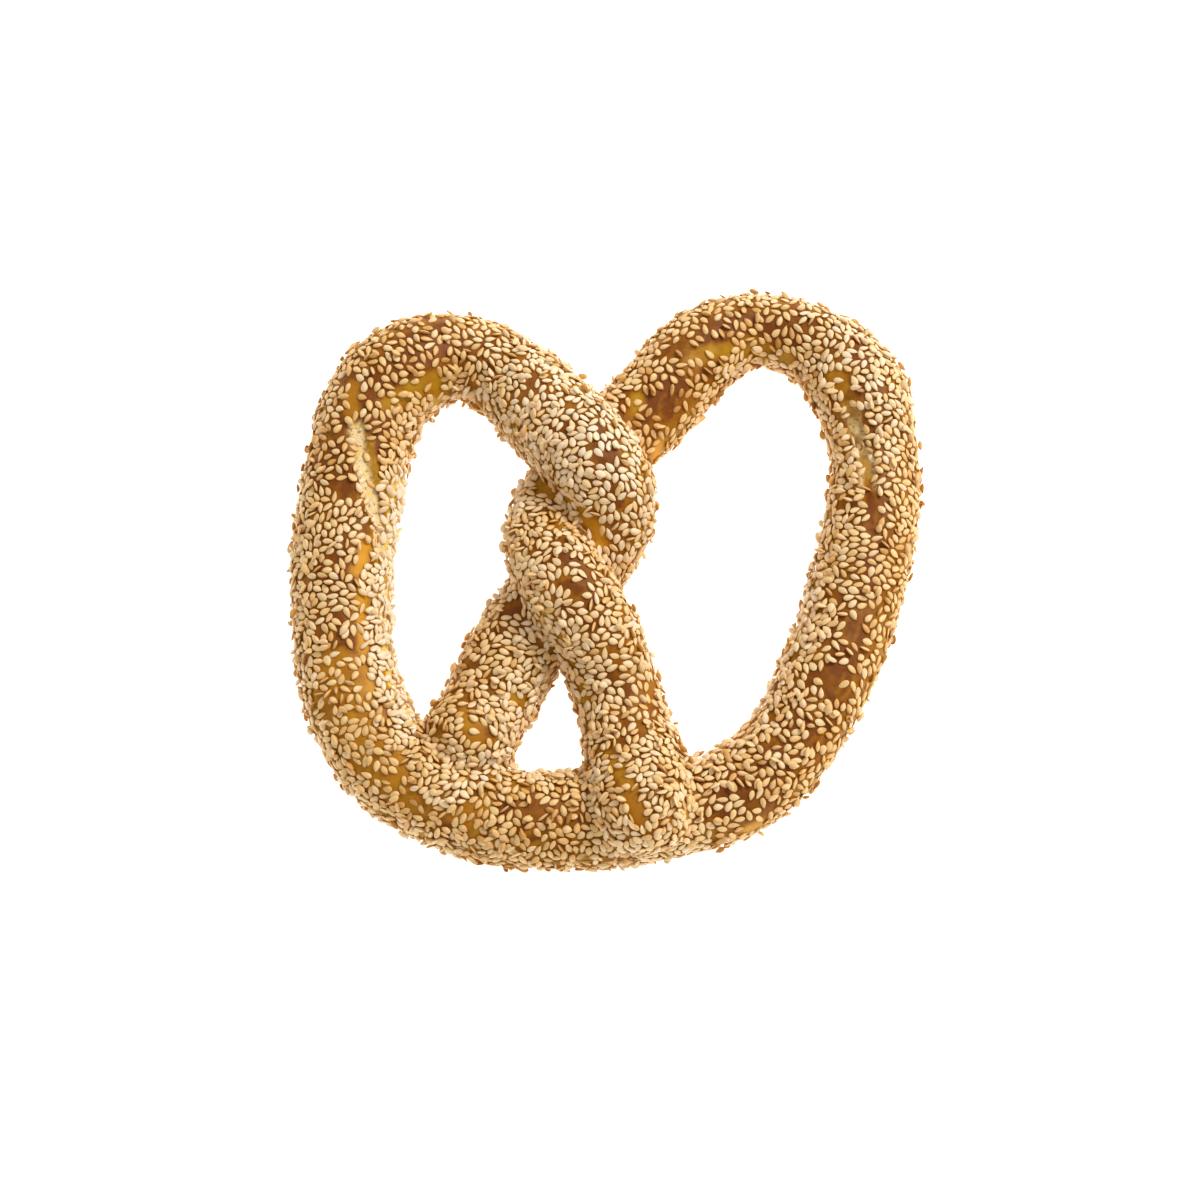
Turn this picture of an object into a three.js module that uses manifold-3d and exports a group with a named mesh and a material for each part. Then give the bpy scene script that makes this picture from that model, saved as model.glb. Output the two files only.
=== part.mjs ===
// Sesame pretzel: one rope of soft bread dough, rolled in sesame seed, tied with a full twist and
// baked lying flat. All of it is one solid: the rope, its two feet fused to the belly, and the seeds.
// Millimetres, +Z up. The pretzel rests on z = 0, and its origin is under the middle of its outline.
// The belly, where the feet are pressed on, is towards -Y, and the two loops meet in the twist.

import * as THREE from 'three';
import { mergeVertices } from 'three/addons/utils/BufferGeometryUtils.js';
import Module from 'manifold-3d';

const wasm = await Module();
wasm.setup();

// ---------------------------------------------------------------- driving dimensions

// How the rope lies, seen from above, from the left foot to the right one: x, y and the rope's width.
const LEFT_STRAND = [
  [-42.5, -53.5, 31], // left foot, pressed into the belly's inner side
  [-35, -39, 25.5],
  [-26.5, -21, 26.5],
  [-16, -5, 25], // under the right strand
  [-4.5, 6.5, 23.5],
  [1.5, 17.5, 24.5],
  [-2, 29, 26.5], // over the right strand
  [-15.5, 46.5, 27],
];
const LEFT_TOP = [-42, 67.5, 25];
const LEFT_LOOP = [
  [-27, 60, 25],
  LEFT_TOP,
  [-56, 63, 29.5],
  [-65.5, 53.5, 29.5],
  [-71.2, 33, 29.4],
  [-74.2, 4, 28.6],
  [-73.2, -20, 27.6],
  [-67.5, -40, 28],
];
const BELLY = [
  [-56, -55, 27],
  [-36, -64.5, 27],
  [-10, -67.5, 26.5],
  [18, -64.5, 26],
  [36, -59, 26],
];
const RIGHT_TOP = [44, 76.6, 21.2]; // the rope's thinnest place
const RIGHT_LOOP = [
  [50.5, -46, 25.5],
  [61, -27, 27],
  [69, -5.5, 27],
  [74.5, 18, 27],
  [76, 38, 25.5],
  [72, 56, 27.5],
  [61, 70.7, 23],
  RIGHT_TOP,
];
const RIGHT_STRAND = [
  [27, 69.5, 25],
  [14.5, 54.5, 26],
  [-2.5, 36.5, 24.5], // under the left strand
  [-14, 23, 23.5],
  [-17, 10.5, 23.5],
  [-11, -5, 25], // over the left strand
  [-2.5, -18, 24.5],
  [4.5, -38, 25],
  [8.5, -58, 28.5],
  [11.5, -77, 30], // right foot, laid over the belly
];
const OUTLINE_MIDDLE = { x: 0.2, y: 2.7 }; // brought over the origin

const FLATNESS = 0.93; // the rope's height over its width, as soft dough settles
const BASE_FLAT = 1; // how deep the tray flattens the rope's underside

// Where the rope climbs over another stretch: the place seen from above, how far it climbs, and over
// what length it rises before that place and comes down after it.
const CLIMBS = [
  { x: -42.5, y: -53.5, climb: 3, before: 1, after: 30 }, // left foot
  { x: -2.5, y: 29, climb: 14, before: 33, after: 50 }, // left strand over right
  { x: -11.5, y: -5, climb: 14, before: 36, after: 36 }, // right strand over left
  { x: 11, y: -68, climb: 7, before: 34, after: 26 }, // right foot over the belly
];

const RING_STEP = 8; // between two rings of the rope's surface
const RING_SIDES = 12;
const FOOT_RINGS = [0.03, 0.12, 0.28, 0.5]; // distances from a foot's tip, over the half width there

// The larger hulled seeds: blunt at one end and pointed at the other. Each row of the outline is a
// share of the length from the middle, and of the width there.
const SEED = { length: 3.6, width: 2.1, thickness: 1.2 };
const SEED_OUTLINE = [
  [-0.3, 0.42],
  [0.08, 0.48],
];
const SEED_SIDES = 5;
const SEED_TURN = 0.75; // in sides, which puts a ridge below and a flat on top
const SEED_SPREAD = 0.12; // how much smaller the smallest of these is
const SEED_COUNT = 350; // places tried, of which those under the rope or in a crease stay bare
const SEED_SUNK = 0.3; // share of its thickness by which a seed sinks into the crust
const SEED_LEAN = 0.2; // the most that a seed leans, in radians
const SEED_CLEAR = 2.5; // bare width along a crease between two stretches and along the tray
const RANDOM_SEED = 7;

const TRAY = { width: 300, depth: 100 }; // reaches well past the pretzel

const LENGTH_SAMPLES = 2000; // on the whole rope, for distances along it
const PLACE_STEP = 0.5; // between places tried along the rope
const COVER_STEP = 3; // the same, to find whether another stretch covers a seed
const OWN_REACH = 30; // length of rope to each side of a seed that counts as its own stretch
const WELD = 1e-4; // corners closer together than this are one

const CRUST = { color: 0xc9963f, roughness: 0.6, metalness: 0 };

// ---------------------------------------------------------------- the rope's centreline

// One spline carries the place seen from above and the rope's width, so its z is the width.
const stations = [...LEFT_STRAND, ...LEFT_LOOP, ...BELLY, ...RIGHT_LOOP, ...RIGHT_STRAND];
const plan = new THREE.CatmullRomCurve3(
  stations.map(([x, y, width]) => new THREE.Vector3(x, y, width)),
  false,
  'centripetal',
);
plan.arcLengthDivisions = LENGTH_SAMPLES;
const ropeLength = plan.getLength();

// How far along the rope lies the point nearest to a place seen from above.
function distanceTo(x, y) {
  let nearest = Infinity;
  let distance = 0;
  for (let s = 0; s <= ropeLength; s += PLACE_STEP) {
    const p = plan.getPointAt(s / ropeLength);
    const gap = Math.hypot(p.x - x, p.y - y);
    if (gap < nearest) {
      nearest = gap;
      distance = s;
    }
  }
  return distance;
}

const climbs = CLIMBS.map((climb) => ({ ...climb, at: distanceTo(climb.x, climb.y) }));

function liftAt(s) {
  let lift = 0;
  for (const { at, climb, before, after } of climbs) {
    const away = (s - at) / (s < at ? before : after);
    if (Math.abs(away) < 1) lift += (climb * (1 + Math.cos(Math.PI * away))) / 2;
  }
  return lift;
}

// Centre, half width and half height of the rope at a distance s from the left foot's tip.
function sectionAt(s) {
  const p = plan.getPointAt(THREE.MathUtils.clamp(s / ropeLength, 0, 1));
  const halfWidth = p.z / 2;
  const halfHeight = halfWidth * FLATNESS;
  const centre = new THREE.Vector3(
    p.x - OUTLINE_MIDDLE.x,
    p.y - OUTLINE_MIDDLE.y,
    halfHeight - BASE_FLAT + liftAt(s),
  );
  return { centre, halfWidth, halfHeight };
}

// The rope's own directions there: along it, across it and upwards. Its feet round off to a tip.
function frameAt(s) {
  const { centre, halfWidth, halfHeight } = sectionAt(s);
  const along = sectionAt(s + PLACE_STEP).centre.sub(sectionAt(s - PLACE_STEP).centre).normalize();
  const across = new THREE.Vector3().crossVectors(along, new THREE.Vector3(0, 0, 1)).normalize();
  const up = new THREE.Vector3().crossVectors(across, along);
  const fromTip = Math.min(s, ropeLength - s) / halfWidth;
  const roundOff = fromTip < 1 ? Math.sqrt(1 - (1 - fromTip) ** 2) : 1;
  return { centre, along, across, up, halfWidth: halfWidth * roundOff, halfHeight: halfHeight * roundOff };
}

// A corner of the rope's many-sided section, counted anticlockwise from the side that faces across.
function cornerAt(s, corner) {
  const { centre, across, up, halfWidth, halfHeight } = frameAt(s);
  const angle = (2 * Math.PI * corner) / RING_SIDES;
  return centre
    .clone()
    .addScaledVector(across, halfWidth * Math.cos(angle))
    .addScaledVector(up, halfHeight * Math.sin(angle));
}

// ---------------------------------------------------------------- solids

function toSolid(geometry) {
  const bare = geometry.clone();
  bare.deleteAttribute('normal');
  bare.deleteAttribute('uv');
  const merged = mergeVertices(bare, WELD);
  const mesh = new wasm.Mesh({
    numProp: 3,
    vertProperties: merged.getAttribute('position').array,
    triVerts: new Uint32Array(merged.index.array),
  });
  return new wasm.Manifold(mesh);
}

function toGeometry(solid) {
  const mesh = solid.getMesh();
  const geometry = new THREE.BufferGeometry();
  geometry.setAttribute('position', new THREE.BufferAttribute(mesh.vertProperties, 3));
  geometry.setIndex(new THREE.BufferAttribute(mesh.triVerts, 1));
  const faceted = geometry.toNonIndexed();
  faceted.computeVertexNormals();
  return faceted;
}

// A closed skin over rings of points, each ring closed on itself, with one point at each end.
function skin(first, rings, last) {
  const sides = rings[0].length;
  const points = [first, ...rings.flat(), last];
  const end = points.length - 1;
  const at = (ring, side) => 1 + ring * sides + (side % sides);
  const faces = [];
  for (let side = 0; side < sides; side++) {
    faces.push(0, at(0, side), at(0, side + 1));
    faces.push(end, at(rings.length - 1, side + 1), at(rings.length - 1, side));
    for (let ring = 0; ring + 1 < rings.length; ring++) {
      faces.push(at(ring, side), at(ring + 1, side), at(ring + 1, side + 1));
      faces.push(at(ring, side), at(ring + 1, side + 1), at(ring, side + 1));
    }
  }
  const geometry = new THREE.BufferGeometry().setFromPoints(points);
  geometry.setIndex(faces);
  return geometry;
}

// The rope from one distance to another. A foot gets rings closer together, where it rounds off.
function ropeStretch(from, to) {
  const count = Math.round((to - from) / RING_STEP);
  const distances = [];
  for (let i = 0; i <= count; i++) distances.push(from + ((to - from) * i) / count);
  const rounding = (s) => FOOT_RINGS.map((share) => share * sectionAt(s).halfWidth);
  if (from === 0) distances.splice(0, 2, ...rounding(from));
  if (to === ropeLength) distances.splice(-2, 2, ...rounding(to).map((s) => to - s).reverse());
  const rings = distances.map((s) => {
    const ring = [];
    for (let corner = 0; corner < RING_SIDES; corner++) ring.push(cornerAt(s, corner));
    return ring;
  });
  return toSolid(skin(frameAt(from).centre, rings, frameAt(to).centre));
}

// No stretch crosses itself: one ends and the next begins at the top of each loop.
function rope() {
  const leftTop = distanceTo(...LEFT_TOP);
  const rightTop = distanceTo(...RIGHT_TOP);
  return ropeStretch(0, leftTop)
    .add(ropeStretch(leftTop, rightTop))
    .add(ropeStretch(rightTop, ropeLength));
}

// The tray keeps everything above z = 0.
function aboveTray(solid) {
  const tray = new THREE.BoxGeometry(TRAY.width, TRAY.width, TRAY.depth).translate(0, 0, -TRAY.depth / 2);
  return solid.subtract(toSolid(tray));
}

// A hulled seed lying along x.
function seedGeometry(size) {
  const rings = SEED_OUTLINE.map(([along, wide]) => {
    const ring = [];
    for (let side = 0; side < SEED_SIDES; side++) {
      const angle = (2 * Math.PI * (side + SEED_TURN)) / SEED_SIDES;
      const y = -wide * SEED.width * Math.cos(angle);
      const z = wide * SEED.thickness * Math.sin(angle);
      ring.push(new THREE.Vector3(along * SEED.length, y, z));
    }
    return ring;
  });
  const blunt = new THREE.Vector3(-SEED.length / 2, 0, 0);
  const point = new THREE.Vector3(SEED.length / 2, 0, 0);
  return skin(blunt, rings, point).scale(size, size, size);
}

// Whether a point on the rope lies inside another stretch of it, or within the bare width of one.
function isCovered(point, s) {
  for (let other = COVER_STEP; other < ropeLength; other += COVER_STEP) {
    if (Math.abs(other - s) < OWN_REACH) continue;
    const { centre, halfHeight } = sectionAt(other);
    if (centre.distanceTo(point) < halfHeight + SEED_CLEAR) return true;
  }
  return false;
}

// Seeds evenly all round the rope, each a golden angle on from the last, turned and leaned at random.
function seeds() {
  const random = randomNumbers(RANDOM_SEED);
  const goldenTurn = (3 - Math.sqrt(5)) / 2;
  const made = [];
  for (let i = 0; i < SEED_COUNT; i++) {
    const turn = random() * 2 * Math.PI;
    const lean = (2 * random() - 1) * SEED_LEAN;
    const size = 1 - random() * SEED_SPREAD;
    const s = (ropeLength * (i + 0.5)) / SEED_COUNT;
    const corner = ((i * goldenTurn) % 1) * RING_SIDES;
    const low = cornerAt(s, Math.floor(corner));
    const high = cornerAt(s, Math.floor(corner) + 1);
    const place = low.clone().lerp(high, corner % 1);
    if (place.z < SEED_CLEAR || isCovered(place, s)) continue;
    const ahead = frameAt(s).along;
    const outward = high.clone().sub(low).cross(ahead).normalize().negate();
    const seat = new THREE.Matrix4().makeBasis(ahead, outward.clone().cross(ahead), outward);
    const seed = seedGeometry(size).rotateY(lean).rotateZ(turn);
    place.addScaledVector(outward, SEED.thickness * (0.5 - SEED_SUNK));
    made.push(toSolid(seed.applyMatrix4(seat.setPosition(place))));
  }
  return made;
}

// Mulberry32: the same row of numbers between 0 and 1 each time.
function randomNumbers(start) {
  let state = start;
  return () => {
    state = (state + 0x6d2b79f5) | 0;
    let t = Math.imul(state ^ (state >>> 15), 1 | state);
    t = (t + Math.imul(t ^ (t >>> 7), 61 | t)) ^ t;
    return ((t ^ (t >>> 14)) >>> 0) / 4294967296;
  };
}

// ---------------------------------------------------------------- the pretzel

const dough = aboveTray(rope());
const seeded = seeds().reduce((solid, seed) => solid.add(seed), dough);
// The outer skin alone, so that hollows sealed between seeds fill up and loose scraps go.
const [pretzel] = seeded.decompose().sort((a, b) => b.volume() - a.volume());

const mesh = new THREE.Mesh(toGeometry(pretzel), new THREE.MeshStandardMaterial(CRUST));
mesh.name = 'pretzel';

const group = new THREE.Group();
group.name = 'sesame_pretzel';
group.add(mesh);

export default group;
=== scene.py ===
"""Sesame pretzel: soft bread dough tied with a full twist, rolled in sesame seed and baked lying flat.

The dough and its coat of seeds are made here, in metres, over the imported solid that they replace.
"""

import math

import bpy
import numpy as np
from bpy.props import FloatProperty, FloatVectorProperty, IntProperty, PointerProperty
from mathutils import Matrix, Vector, noise
from mathutils.bvhtree import BVHTree
from mathutils.kdtree import KDTree


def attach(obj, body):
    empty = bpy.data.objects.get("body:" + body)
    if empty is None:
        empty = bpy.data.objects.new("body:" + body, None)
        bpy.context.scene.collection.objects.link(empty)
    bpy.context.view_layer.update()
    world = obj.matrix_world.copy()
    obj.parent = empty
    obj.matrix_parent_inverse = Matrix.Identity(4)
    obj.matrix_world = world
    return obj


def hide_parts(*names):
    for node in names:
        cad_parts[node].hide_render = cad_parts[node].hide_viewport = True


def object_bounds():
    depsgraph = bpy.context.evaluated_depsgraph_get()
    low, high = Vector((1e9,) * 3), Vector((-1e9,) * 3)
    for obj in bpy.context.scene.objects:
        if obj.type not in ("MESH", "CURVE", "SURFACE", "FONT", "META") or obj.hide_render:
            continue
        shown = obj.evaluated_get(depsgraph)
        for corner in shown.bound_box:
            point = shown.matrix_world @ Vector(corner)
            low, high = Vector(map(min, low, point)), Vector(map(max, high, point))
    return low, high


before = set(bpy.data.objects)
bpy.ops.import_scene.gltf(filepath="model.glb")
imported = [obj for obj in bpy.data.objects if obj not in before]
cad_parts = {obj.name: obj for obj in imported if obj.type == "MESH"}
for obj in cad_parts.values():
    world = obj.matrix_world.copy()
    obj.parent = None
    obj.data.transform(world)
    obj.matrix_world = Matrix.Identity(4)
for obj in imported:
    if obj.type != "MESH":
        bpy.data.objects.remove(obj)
SOLID_LOW, SOLID_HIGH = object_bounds()

bl_info = {
    "name": "Sesame Pretzel",
    "version": (1, 0, 0),
    "blender": (4, 5, 0),
    "location": "View3D > Sidebar > Pretzel",
    "description": "A soft bread pretzel with a close coat of sesame seeds",
    "category": "Add Mesh",
}

MM = 0.001
NODE = "pretzel"

# ------------ the rope, as it lies

# From the left foot's tip to the right one's, seen from above: x, y and width, in mm. These are the
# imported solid's own stations; the dough lies a little inside them and the seeds a little outside.
LEFT_STRAND = [
    (-42.5, -53.5, 31),
    (-35, -39, 25.5),
    (-26.5, -21, 26.5),
    (-16, -5, 25),
    (-4.5, 6.5, 23.5),
    (1.5, 17.5, 24.5),
    (-2, 29, 26.5),
    (-15.5, 46.5, 27),
    (-27, 60, 25),
]
LOOPS = [
    (-42, 67.5, 25),
    (-56, 63, 29.5),
    (-65.5, 53.5, 29.5),
    (-71.2, 33, 29.4),
    (-74.2, 4, 28.6),
    (-73.2, -20, 27.6),
    (-67.5, -40, 28),
    (-56, -55, 27),
    (-36, -64.5, 27),
    (-10, -67.5, 26.5),
    (18, -64.5, 26),
    (36, -59, 26),
    (50.5, -46, 25.5),
    (61, -27, 27),
    (69, -5.5, 27),
    (74.5, 18, 27),
    (76, 38, 25.5),
    (72, 56, 27.5),
    (61, 70.7, 23),
    (44, 76.6, 21.2),
]
RIGHT_STRAND = [
    (27, 69.5, 25),
    (14.5, 54.5, 26),
    (-2.5, 36.5, 24.5),
    (-14, 23, 23.5),
    (-17, 10.5, 23.5),
    (-11, -5, 25),
    (-2.5, -18, 24.5),
    (4.5, -38, 25),
    (8.5, -58, 28.5),
    (11.5, -77, 30),
]
OUTLINE_MIDDLE = (0.2, 2.7)
FLATNESS = 0.93  # height over width
BASE_FLAT = 1.0  # how deep the tray flattens the underside
ROPE_STEP = 1.0  # mm between samples of the rope's centre line
ROPE_RADIUS = 13.0  # mm, the rope's usual radius, for lengths round it
ROPE_SIDES = 40
JOIN_OVERLAP = 4  # samples by which the loops' stretch runs on into each strand
# Where the rope climbs over another stretch: x, y, climb, length of the rise and of the descent.
CLIMBS = [
    (-42.5, -53.5, 3, 1, 30),
    (-2.5, 29, 14, 33, 50),
    (-11.5, -5, 14, 36, 36),
    (11, -68, 7, 34, 26),
]

# How baked (0 pale, 1 brown) and how glowing the bare crust looks, by its colour's name.
LOOKS = {
    "pale": (0.02, 0.0),
    "olive": (0.38, 0.0),
    "amber": (0.45, 1.0),
    "golden": (0.6, 0.25),
    "brown": (0.95, 0.0),
}
# Bare or thinly seeded places, where the rope was stretched, torn or handled; the olive and brown of some, in
# creases and on walls turned from the light, are partly painted shade, and one pale wall is painted light.
# Each is a stroke from one spot to another: distance along the rope in mm and angle round it in degrees, 0 on
# top and below 0 on the side of the holes. Then its half width in mm, the share of seeds left in it, its
# look, and how deep it is torn in mm.
BARE_PLACES = [
    # left arm: golden corner, torn strip that winds down the inner side, the smooth ridge by it, amber spots,
    # and below them the inner wall, painted pale where the light falls on it
    (186, 24, 194, 10, 1.5, 0.35, "golden", 0.2),
    (197, 2, 231, -60, 1.6, 0.0, "pale", 1.1),
    (199, -15, 212, -36, 1.4, 0.25, "olive", 0.0),
    (230, -34, 238, -24, 1.6, 0.1, "amber", 0.2),
    (241, -29, 262, -26, 1.1, 0.35, "amber", 0.0),
    (266, -17, 275, -22, 1.6, 0.15, "amber", 0.2),
    (206, -82, 290, -74, 5.0, 0.75, "pale", 0.0),
    # inner side of the left arch, its olive partly painted shade, as the wall is turned from the light
    (187, -30, 170, -43, 2.6, 0.5, "olive", 0.3),
    (148, -52, 144, -56, 1.6, 0.4, "golden", 0.0),
    # inner side of the right arch, its olive partly painted shade, as the wall is turned from the light
    (588, -20, 584, -8, 2.2, 0.45, "brown", 0.0),
    (585, -16, 571, -40, 2.7, 0.5, "olive", 0.2),
    (569, -52, 546, -64, 2.0, 0.3, "olive", 0.2),
    # torn band down the right arm, with a little crumb in it; its olive is partly painted shade on a wall
    # turned from the light
    (525, -27, 517, -29, 2.2, 0.2, "golden", 0.2),
    (517, -29, 505, -27, 2.1, 0.12, "olive", 1.0),
    (505, -27, 489, -14, 2.1, 0.15, "olive", 1.0),
    (512, -29, 500, -22, 0.9, 0.0, "pale", 0.3),
    (489, -13, 475, 2, 1.5, 0.35, "brown", 0.2),
    # right strand, before it goes under; its olive and brown patches are partly painted shade
    (599, -24, 602, -38, 2.2, 0.4, "brown", 0.0),
    (604, 10, 607, 2, 2.0, 0.6, "olive", 0.0),
    (608, -62, 610, -78, 2.0, 0.15, "amber", 0.0),
    # the twist: its two creases, their olive partly painted shade, and the brown tops
    (641, 38, 646, 4, 1.5, 0.3, "olive", 0.0),
    (96, -82, 88, -52, 1.0, 0.3, "olive", 0.0),
    (87, -50, 81.5, 12, 0.8, 0.1, "amber", 0.3),
    (103, 14, 93, 0, 4.0, 0.85, "brown", 0.0),
    (671, 10, 672.5, -6, 1.7, 0.3, "brown", 0.0),
    # legs, their olive patches partly painted shade on walls turned from the light
    (49, -28, 50, -14, 1.3, 0.35, "brown", 0.0),
    (47, 46, 35, 78, 2.3, 0.35, "olive", 0.0),
    (28, 34, 24, 38, 1.5, 0.4, "olive", 0.0),
    (693, 56, 700, 60, 2.0, 0.3, "olive", 0.0),
    (700, 60, 714, 60, 1.3, 0.55, "olive", 0.0),
    (724, 32, 739, 8, 1.7, 0.45, "golden", 0.0),
    # left foot
    (9, -14, 5, 18, 2.2, 0.25, "golden", 0.0),
    # lower left: painted more golden, as warm shade, with one thin place
    (268, 12, 318, 12, 8.0, 0.85, "golden", 0.0),
    (283, -8, 290, 0, 1.5, 0.8, "golden", 0.0),
    # brown spots along the left arm, the belly and the right arm
    (214, 0, 218, 2, 1.4, 0.35, "brown", 0.0),
    (315, 40, 318, 38, 1.4, 0.35, "brown", 0.0),
    (336, 36, 339, 34, 1.4, 0.35, "brown", 0.0),
    (392, 70, 394, 72, 1.4, 0.3, "amber", 0.0),
    (407, -13, 410, -11, 1.5, 0.35, "brown", 0.0),
    (416, 30, 419, 30, 1.3, 0.35, "brown", 0.0),
    (423, 2, 427, 4, 1.5, 0.35, "brown", 0.0),
    (432, 29, 436, 28, 1.5, 0.35, "brown", 0.0),
    (446, 8, 451, 8, 1.7, 0.35, "brown", 0.0),
]
NEAR_STROKE = 12.0  # mm; a stroke has no effect farther away than this
SMALL_GAPS_MM = 3.6  # spacing of the lesser gaps between clumps of seeds

# Broad zones of the coat, each a stroke as above and how far it fades out to each side in mm; then the share
# of seeds in it, how much darker its crust is painted, and how much darker its seeds are painted, below 0
# paler. This is partly real browning and toasting and partly painted light and shade: paler where the light
# falls, darker where the rope is turned away from it.
ZONES = [
    # top of the rope: seeds rubbed off and crust browned
    (40, 0, 720, 0, 14, 0.8, 0.14, 0.0),
    # left arch and its outer shoulder, painted darker as shade, and low on the inner side of the left arch
    # and arm, painted pale where the light falls
    (150, 0, 200, -5, 24, 0.78, 0.04, 0.06),
    (150, 60, 205, 60, 14, 0.8, 0.08, 0.15),
    (205, 45, 250, 45, 16, 0.9, 0.04, 0.08),
    (150, -82, 205, -78, 10, 1.1, -0.2, -0.1),
    (150, -22, 200, -24, 11, 1.0, 0.14, 0.14),
    (215, -88, 300, -75, 17, 1.15, -0.45, -0.5),
    # lower left corner and belly: seeds painted more golden as warm shade, the belly's outer side painted
    # darker as shade, and its inner wall painted paler where the light falls
    (275, 20, 345, 15, 18, 0.98, -0.08, 0.2),
    (345, 65, 400, 70, 14, 0.8, 0.08, 0.1),
    (340, -80, 455, -75, 12, 1.15, -0.2, -0.16),
    # right side: painted shade, darker on the outer side, and painted light, paler on the upper right arm
    (395, 20, 460, 30, 22, 0.84, 0.06, 0.03),
    (410, 65, 505, 70, 20, 0.76, 0.02, 0.17),
    (505, 20, 545, 30, 20, 1.05, 0.0, -0.12),
    # right arch and the strand from it down to the twist, painted darker as shade, with painted light on the
    # strand's outer side
    (550, -5, 600, 0, 24, 0.72, 0.06, 0.1),
    (550, -22, 600, -22, 11, 1.0, 0.1, 0.12),
    (600, -60, 630, -40, 20, 0.7, 0.04, 0.14),
    (612, 75, 645, 75, 14, 1.15, -0.1, -0.15),
    # left strand down to the twist, and the twist's sides, painted paler as light
    (100, 40, 150, 30, 20, 1.05, -0.05, -0.16),
    (50, -80, 150, -65, 14, 1.1, -0.15, -0.12),
    (50, -10, 110, 10, 18, 0.92, 0.0, -0.12),
    (650, 60, 700, 70, 14, 1.1, -0.1, -0.04),
    (650, -5, 690, -5, 16, 0.86, 0.0, -0.04),
    # legs: painted light on their outer sides, and painted shade on the inner side of the left leg
    (0, 55, 50, 65, 16, 1.15, -0.1, -0.12),
    (0, -60, 45, -60, 14, 0.92, 0.0, 0.1),
    (700, -20, 748, -10, 16, 0.92, 0.0, 0.0),
]


def srgb(code):
    """Linear red, green and blue of an sRGB hex colour such as '#C9A03C'."""
    parts = [int(code[i : i + 2], 16) / 255 for i in (1, 3, 5)]
    return tuple(c / 12.92 if c <= 0.04045 else ((c + 0.055) / 1.055) ** 2.4 for c in parts)


# ------------ what a user would change


def length_mm(name, text, default):
    """A length property, kept in metres and shown in millimetres."""
    return FloatProperty(name=name, description=text, default=default * MM, min=0, unit="LENGTH")


def colour(name, text, code):
    return FloatVectorProperty(
        name=name, description=text, default=srgb(code), size=3, subtype="COLOR", min=0, max=1
    )


def share(name, text, default):
    return FloatProperty(name=name, description=text, default=default, min=0, max=1, subtype="FACTOR")


class DoughSettings(bpy.types.PropertyGroup):
    inset: length_mm("Inset", "How far the dough lies inside the packed solid", 0.85)
    grain: length_mm("Grain", "Size of the mesh's faces on the crust", 1.0)
    base_gap: length_mm("Base gap", "Height of the dough's flat underside over the tray", 0.6)
    swell: length_mm("Swell", "How uneven the rolled rope is", 0.42)
    fusing: IntProperty(name="Fusing", description="How softly crossings join", default=12, min=0)
    # Pale is also painted light, on the inner wall of the left arm where the light falls.
    pale: colour("Pale dough", "Stretched dough that stayed pale", "#F2CE6A")
    # Olive is partly dough that baked less and partly painted shade, in creases and on walls turned from the
    # light.
    olive: colour("Olive dough", "Dough in creases and on the side walls", "#BC8A14")
    golden: colour("Golden crust", "Crust between pale and brown", "#A2650C")
    brown: colour("Brown crust", "The best baked crust, on top", "#7C4108")
    crumb: colour("Crumb", "Walls of the open crumb where the crust tore", "#F6DDB0")
    pore: colour("Pore", "Pores of the open crumb", "#B98E58")
    amber: colour("Amber glow", "Thin places where light comes through", "#E09C20")


class SeedSettings(bpy.types.PropertyGroup):
    length: length_mm("Length", "Length of a typical hulled sesame seed", 3.25)
    width: length_mm("Width", "Width of a typical hulled sesame seed", 1.98)
    thickness: length_mm("Thickness", "Thickness of a typical hulled sesame seed", 0.95)
    per_cm2: FloatProperty(name="Seeds per cm2", description="First layer of seeds", default=23.5, min=0)
    upper: share("Upper layer", "Share of further seeds that lie on the first layer", 0.28)
    sunk: share("Sunk", "Share of its thickness by which a seed sinks into the crust", 0.3)
    on_edge: share("On edge", "Share of seeds that stand on their edge or tip", 0.1)
    ivory: colour("Ivory seed", "The palest seeds", "#FBE2BE")
    cream: colour("Cream seed", "Most of the seeds", "#F2CA88")
    tan: colour("Tan seed", "Seeds that took some colour", "#DAA252")
    toasted: colour("Toasted seed", "The most toasted seeds and tips", "#A46A24")


class StageSettings(bpy.types.PropertyGroup):
    floor: colour("Floor", "Plain pale floor", "#F4F4F3")
    key: FloatProperty(name="Key light", description="Power of the key light, in W", default=65.0, min=0)
    fill: FloatProperty(name="Fill light", description="Glow of the surroundings", default=0.56, min=0)
    table: FloatProperty(name="Light table", description="Glow of the floor", default=0.9, min=0)
    distance: length_mm("Distance", "From the camera to the pretzel", 793)
    elevation: FloatProperty(
        name="Elevation",
        description="Height of the camera above the horizon",
        default=math.radians(75),
        subtype="ANGLE",
    )


# ------------ curves, noise and meshes


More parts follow.
